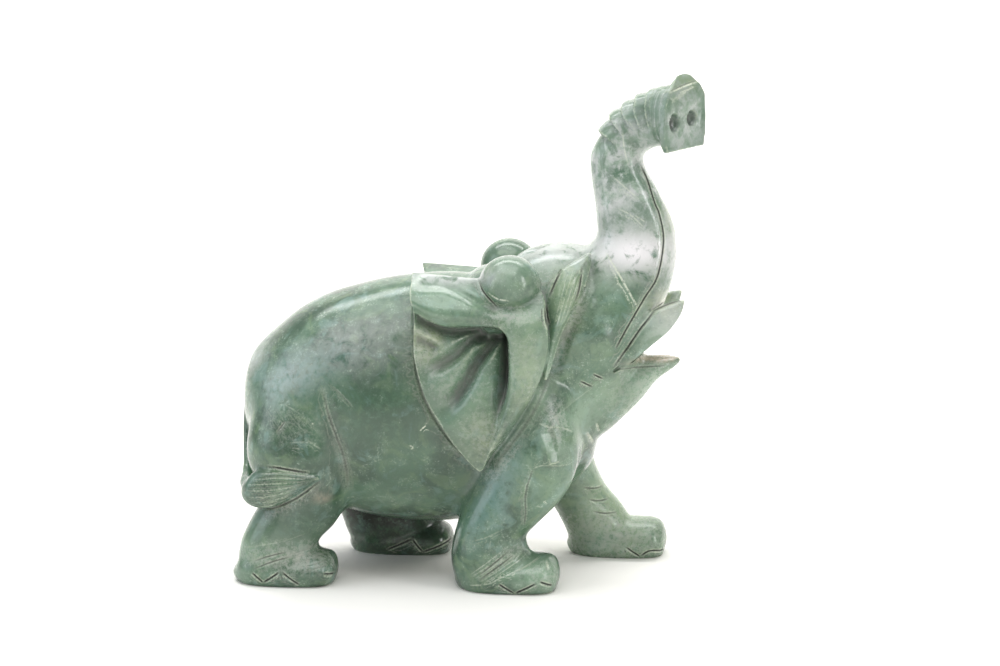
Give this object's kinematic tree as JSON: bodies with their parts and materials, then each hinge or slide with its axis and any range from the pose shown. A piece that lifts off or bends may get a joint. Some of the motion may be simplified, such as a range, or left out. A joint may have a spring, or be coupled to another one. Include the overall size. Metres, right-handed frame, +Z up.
{
  "type": "hardstone elephant carving",
  "caption": "Polished green hardstone elephant, walking with its trunk raised, fluted ears and an open mouth, standing on its flat feet.",
  "frame": {"origin": "on the standing plane, below the middle of the carving's bounding box", "axes": "+X the way the elephant walks, +Y towards its left side, +Z up"},
  "size_m": [0.2168, 0.102, 0.2356],
  "materials": {
    "stone": "polished"
  },
  "bodies": {
    "root": {"elephant": "stone"}
  },
  "joints": []
}
